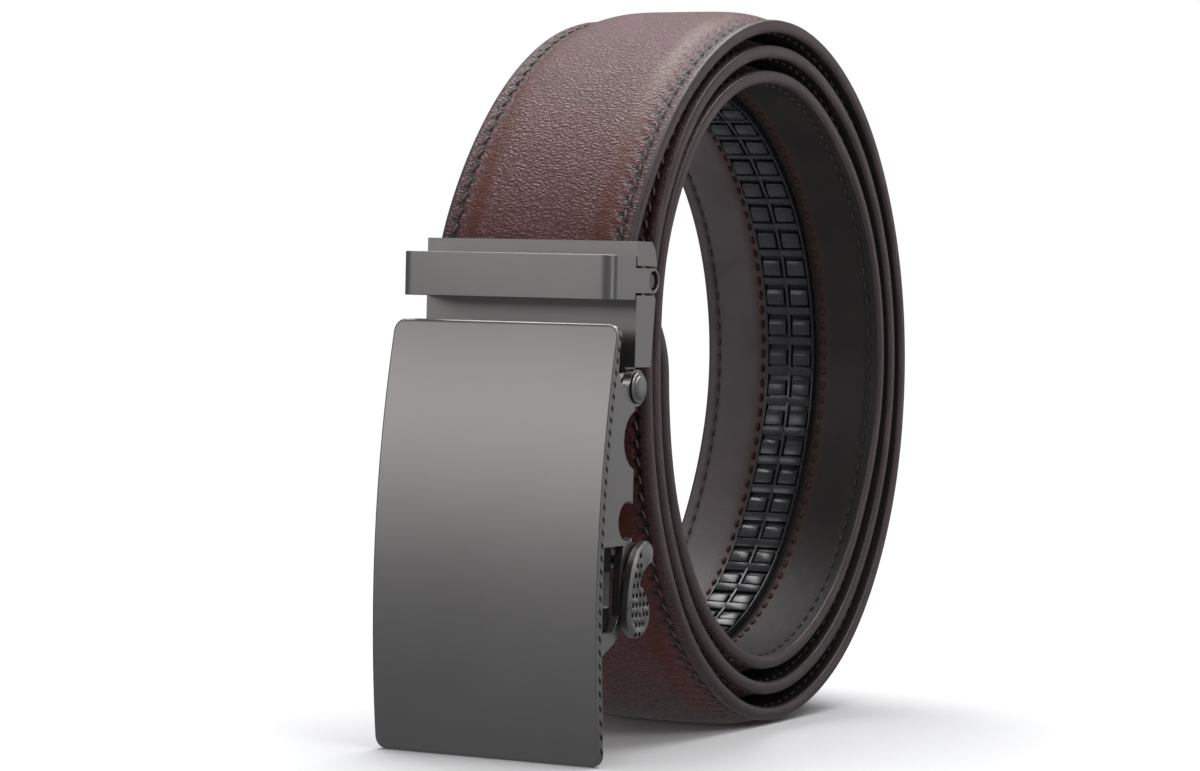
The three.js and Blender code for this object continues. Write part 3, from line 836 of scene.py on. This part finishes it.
def makeTrack():
    start, end = trackSpan()
    pitch = (end - start) / track["teeth"]
    floor = -track["seat"] - track["base"]
    crest = floor - track["tooth"]
    strips = makeStrips(start, end, floor, crest)
    teeth = makeTooth(start, pitch, floor, crest)
    repeated(teeth, track["teeth"], pitch)
    finishWith(teeth, "MIRROR", use_axis=(True, False, False), use_mirror_merge=False)
    whole = joined("toothed_track", [*strips, teeth])
    wrapOnRoll(whole, tapered=False)
    wear(whole, trackPlastic())
    smooth(whole, 35)
    settle(whole, "strap", "track_plastic", "ratchet_track")


def makeTrackStitches():
    start, end = trackSpan()
    past = track["stitchPast"]
    height = -roll["edge"] - stitch["thick"] / 2 + stitch["sink"]
    rows = [stitchRow(side * track["stitchLine"], height, start - past, end + past, track["stitchPitch"],
                      0, track["stitchWide"])
            for side in (-1, 1)]
    stitches = joined("track_stitches", rows)
    wrapOnRoll(stitches, tapered=False)
    wear(stitches, threadFinish("track"))
    smooth(stitches, 60)
    settle(stitches, "strap", "lining_leather")


# Buckle

plate = {
    "corner": 2.0,           # mm
    "cornerSteps": 6,
    "rim": 0.42,
    "rimSteps": 3,
    "lean": 3.3,
    "bulge": 3.5,
    "thick": 1.3,
    "rows": 44,
}


def makeFacePlate(metal, notchedMetal):
    low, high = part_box("face_plate")
    height = high.z - low.z
    thick = plate["thick"] * mm
    piece = block("buckle_plate", (low.x, -thick, low.z), (high.x, 0, high.z))
    edit(piece)
    choose(piece, "edges", lambda edge: runs(edge, 1))
    bpy.ops.mesh.bevel(offset=plate["corner"] * mm, segments=plate["cornerSteps"])
    choose(piece, "edges", lambda edge: abs(middle(edge).y + thick) < 1e-6)
    bpy.ops.mesh.bevel(offset=plate["rim"] * mm, segments=plate["rimSteps"])
    cutAcross(2, [low.z + height * (row + 0.5) / plate["rows"] for row in range(plate["rows"])])
    done()
    topFront = high.y - thick
    for vertex in piece.data.vertices:
        share = 1 - (vertex.co.z - low.z) / height
        bow = plate["lean"] * share + 4 * plate["bulge"] * share * (1 - share)
        vertex.co.y += topFront + thick - bow * mm
    smooth(piece, 40)
    wear(piece, metal, notchedMetal)
    for face in piece.data.polygons:
        face.material_index = 1 if abs(face.normal.x) > 0.99 else 0
    finishWith(piece, "WEIGHTED_NORMAL", keep_sharp=True, weight=60)
    settle(piece, "buckle", "gunmetal", "face_plate")


# a near-black sheet stands in for the shadow in the frame's window; the tray on it wears the light gunmetal
cheek = {
    "front": -11.0,          # mm from the lever's pin along Y, as the rear
    "rear": -4.6,
    "low": -11.4,            # mm from the pin along Z, as the high edge
    "high": 3.6,
    "gap": 2.8,              # mm beside the pawl
    "thick": 0.4,
    "trayFront": -10.0,      # the tray's four edges, measured like the sheet's
    "trayRear": -7.6,
    "trayLow": -7.1,
    "trayHigh": -1.5,
    "traySunk": 0.1,
    "trayDeep": 1.4,
    "trayHollow": 0.8,       # share of its depth
    "lip": 0.32,
    "round": 0.1,
}


def makeWindowShadowSheet(light, dark):  # a near-black sheet that paints the shadow seen through the window, with a small tray on it
    y, z = middleOf("lever_pin", 1) / mm, middleOf("lever_pin", 2) / mm
    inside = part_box("pawl")[1].x / mm + cheek["gap"]
    outside = inside + cheek["thick"]
    sheet = block("window_shadow_sheet", Vector((inside, y + cheek["front"], z + cheek["low"])) * mm,
                  Vector((outside, y + cheek["rear"], z + cheek["high"])) * mm)
    finishWith(sheet, "BEVEL", width=cheek["round"] * mm, segments=2)
    # the sheet wears the near-black pit shadow: painted shade
    wear(sheet, dark)
    settle(sheet, "buckle", "dark_gunmetal")
    trayStart = Vector((outside - cheek["traySunk"], y + cheek["trayFront"], z + cheek["trayLow"]))
    trayEnd = Vector((outside + cheek["trayDeep"], y + cheek["trayRear"], z + cheek["trayHigh"]))
    tray = block("window_tray", trayStart * mm, trayEnd * mm)
    edit(tray)
    choose(tray, "faces", lambda face: face.normal.x > 0.9)
    bpy.ops.mesh.inset(thickness=cheek["lip"] * mm)
    bpy.ops.transform.translate(value=(-cheek["trayHollow"] * cheek["trayDeep"] * mm, 0, 0))
    done()
    finishWith(tray, "BEVEL", width=cheek["round"] * mm, segments=2)
    smooth(tray, 40)
    wear(tray, light)
    settle(tray, "buckle", "gunmetal")


keeperBar = {
    "bend": 0.62,            # mm, rounding of the bent corners
    "bendSteps": 4,
    "bendZone": 2.6,         # mm behind the bar's front where bends are looked for
    "bendAngles": (20, 70),  # degrees
    "bow": 0.8,
    "bowZone": 2.0,          # mm behind the bar's front that bow with it
    "cuts": 15,
}


def bowForward(bar):  # in edit mode, rounds the bends and bows the front between them
    low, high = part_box("keeper_loop")
    span = high.x - low.x
    least, most = keeperBar["bendAngles"]
    shape = bmesh.from_edit_mesh(bar.data)
    bpy.ops.mesh.select_all(action="DESELECT")
    for edge in shape.edges:
        nearFront = middle(edge).y < low.y + keeperBar["bendZone"] * mm
        if runs(edge, 2) and nearFront and least < math.degrees(edge.calc_face_angle(0)) < most:
            edge.select_set(True)
    bmesh.update_edit_mesh(bar.data)
    bpy.ops.mesh.bevel(offset=keeperBar["bend"] * mm, segments=keeperBar["bendSteps"])
    cuts = keeperBar["cuts"]
    cutAcross(0, [low.x + span * (cut + 1) / (cuts + 1) for cut in range(cuts)])
    for vertex in bmesh.from_edit_mesh(bar.data).verts:
        if vertex.co.y < low.y + keeperBar["bowZone"] * mm:
            across = (vertex.co.x - low.x) / span
            vertex.co.y -= keeperBar["bow"] * mm * 4 * across * (1 - across)
    bmesh.update_edit_mesh(bar.data)


refining = {
    "merge": 0.000002,       # m
    "flat": 2.0,             # degrees, edges flatter than this are dissolved
    "sharp": 32,             # degrees, edges sharper than this are rounded
}


def refined(node, name, bevel):  # a copy of a CAD node with merged corners and rounded edges
    piece = bpy.data.objects.new(name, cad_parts[node].data.copy())
    piece.data.name = name
    bpy.context.scene.collection.objects.link(piece)
    edit(piece)
    bpy.ops.mesh.select_all(action="SELECT")
    bpy.ops.mesh.remove_doubles(threshold=refining["merge"])
    bpy.ops.mesh.dissolve_limited(angle_limit=math.radians(refining["flat"]))
    if node == "keeper_loop":
        bowForward(piece)
    done()
    finishWith(piece, "BEVEL", width=bevel * mm, segments=2, limit_method="ANGLE",
               angle_limit=math.radians(refining["sharp"]), use_clamp_overlap=True, harden_normals=False)
    smooth(piece, 40)
    finishWith(piece, "WEIGHTED_NORMAL", keep_sharp=True, weight=60)
    return piece


tabPits = {
    "fromPin": (-3.6, -8.5),     # mm from the lever's pin along Y and Z to the first pit of row 0
    "pitch": (1.25, 1.57),
    "size": 0.72,
    "depth": 0.4,
    # each row's places, in pitches
    "rows": {
        6: (1.9,), 5: (1.1, 2.1), 4: (0.7, 1.7), 3: (0.2, 1.2, 2.2), 2: (0, 1, 2, 3),
        1: (0, 1, 2, 3, 4), 0: (0, 1, 2, 3, 4), -1: (1, 2, 3), -2: (1, 2),
    },
}


def pitTab(tab, metal, inside):
    pinY, pinZ = middleOf("lever_pin", 1), middleOf("lever_pin", 2)
    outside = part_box("lever_tab")[1].x
    half = tabPits["size"] / 2 * mm
    pits = []
    for row, columns in tabPits["rows"].items():
        for column in columns:
            y = pinY + (tabPits["fromPin"][0] + column * tabPits["pitch"][0]) * mm
            z = pinZ + (tabPits["fromPin"][1] + row * tabPits["pitch"][1]) * mm
            pits.append(block("pit", (outside - tabPits["depth"] * mm, y - half, z - half),
                              (outside + mm, y + half, z + half)))
    cutter = joined("pits", pits)
    wear(cutter, metal, inside)
    for face in cutter.data.polygons:
        face.material_index = 1
    wear(tab, metal, inside)
    finishWith(tab, "BOOLEAN", operation="DIFFERENCE", object=cutter, solver="EXACT")
    bpy.data.objects.remove(cutter)
    smooth(tab, 40)


def makeMetalwork(light, dark, shadow):
    pieces = (
        ("keeper_loop", "keeper_bar", 0.2, "strap", light, "gunmetal"),
        ("clamp_body", "strap_clamp", 0.16, "strap", light, "gunmetal"),
        ("clamp_jaw", "biting_flap", 0.1, "strap", dark, "dark_gunmetal"),
        ("clamp_pin", "flap_pin", 0.1, "strap", dark, "dark_gunmetal"),
        ("buckle_frame", "side_frame", 0.12, "buckle", light, "gunmetal"),
        ("hinge_rivet", "frame_rivet", 0.1, "buckle", light, "gunmetal"),
        ("lever_pin", "pawl_pin", 0.1, "buckle", dark, "dark_gunmetal"),
        ("pawl", "catch", 0.12, "lever", dark, "dark_gunmetal"),
        ("lever_tab", "finger_tab", 0.2, "lever", light, "gunmetal"),
    )
    for node, name, bevel, body, metal, slot in pieces:
        piece = refined(node, name, bevel)
        wear(piece, metal)
        if node == "lever_tab":
            pitTab(piece, metal, shadow)
        settle(piece, body, slot, node)


# Floor, lights and world

studio = {
    "floor": (0.84, 0.84, 0.85),
    "background": (1.0, 1.0, 1.0),
    "fades": (0.14, 0.5),        # m from the object, where the floor turns into the background
    "surroundings": (0.55, 0.56, 0.58),
    "surroundingsStrength": 0.35,
    "target": (0, 0, 0.06),
    # each light's place and size in m, and its power in watts
    "lights": {
        "top box": ((-0.14, 0.27, 1.05), (1.0, 1.0), 18),
        "front box": ((-0.5, -1.0, 0.34), (0.9, 0.32), 1.85),
        "right box": ((0.7, -0.3, 0.95), (0.5, 0.5), 2.6),
        "back box": ((0.62, 1.0, 0.3), (0.8, 0.7), 0.9),
        "right strip": ((1.0, -0.22, 0.14), (0.12, 0.7), 0.75),
    },
}


def addFloor():
    bpy.ops.object.select_all(action="DESELECT")
    bpy.ops.mesh.primitive_plane_add(size=12)
    floor = bpy.context.object
    floor.name = "floor"
    look = Finish("floor", Roughness=0.5, Specular_IOR_Level=0.2, Emission_Strength=1.0)
    x, y = look.split(look.place())[:2]
    away = ((x * x + y * y) ** 0.5).step(*studio["fades"])
    look.put(look.surface, "Emission Color", look.mix(away, (0, 0, 0), studio["background"]))
    wear(floor, look.paint(look.mix(away, studio["floor"], (0, 0, 0))))
    floor.visible_glossy = False


def addLight(name, place, size, power):
    data = bpy.data.lights.new(name, "AREA")
    data.shape = "RECTANGLE"
    data.size, data.size_y = size
    data.energy = power
    light = bpy.data.objects.new(name, data)
    light.location = place
    way = Vector(studio["target"]) - Vector(place)
    light.rotation_euler = way.to_track_quat("-Z", "Y").to_euler()
    bpy.context.scene.collection.objects.link(light)


def addWorld():  # grey for what the object reflects, and white behind it
    world = bpy.data.worlds.new("studio")
    bpy.context.scene.world = world
    world.use_nodes = True
    tree = world.node_tree
    path = tree.nodes.new("ShaderNodeLightPath")
    grey = tree.nodes["Background"]
    grey.inputs["Color"].default_value = (*studio["surroundings"], 1)
    grey.inputs["Strength"].default_value = studio["surroundingsStrength"]
    white = tree.nodes.new("ShaderNodeBackground")
    white.inputs["Color"].default_value = (*studio["background"], 1)
    both = tree.nodes.new("ShaderNodeMixShader")
    tree.links.new(path.outputs["Is Camera Ray"], both.inputs["Fac"])
    tree.links.new(grey.outputs[0], both.inputs[1])
    tree.links.new(white.outputs[0], both.inputs[2])
    tree.links.new(both.outputs[0], tree.nodes["World Output"].inputs["Surface"])
    bpy.context.scene.view_settings.view_transform = "Standard"


addCamera()
addFloor()
for name, (place, size, power) in studio["lights"].items():
    addLight(name, place, size, power)
addWorld()
print("studio ready")
makeStrap()
print("strap rolled up")
stitchEdges()
print("edges stitched")
makeTrack()
makeTrackStitches()
print("track fitted")
lightMetal = gunmetalFinish("gunmetal", metalLook["light"], metalLook["lightRoughness"])
darkMetal = gunmetalFinish("dark gunmetal", metalLook["dark"], metalLook["darkRoughness"])
notchedMetal = gunmetalFinish("notched gunmetal", metalLook["notched"], metalLook["lightRoughness"], True)
makeFacePlate(lightMetal, notchedMetal)
pitShadow = Finish("pit shadow", Base_Color=metalLook["pitShadow"], Roughness=0.7).material
makeWindowShadowSheet(lightMetal, pitShadow)
makeMetalwork(lightMetal, darkMetal, pitShadow)
print("buckle fitted")
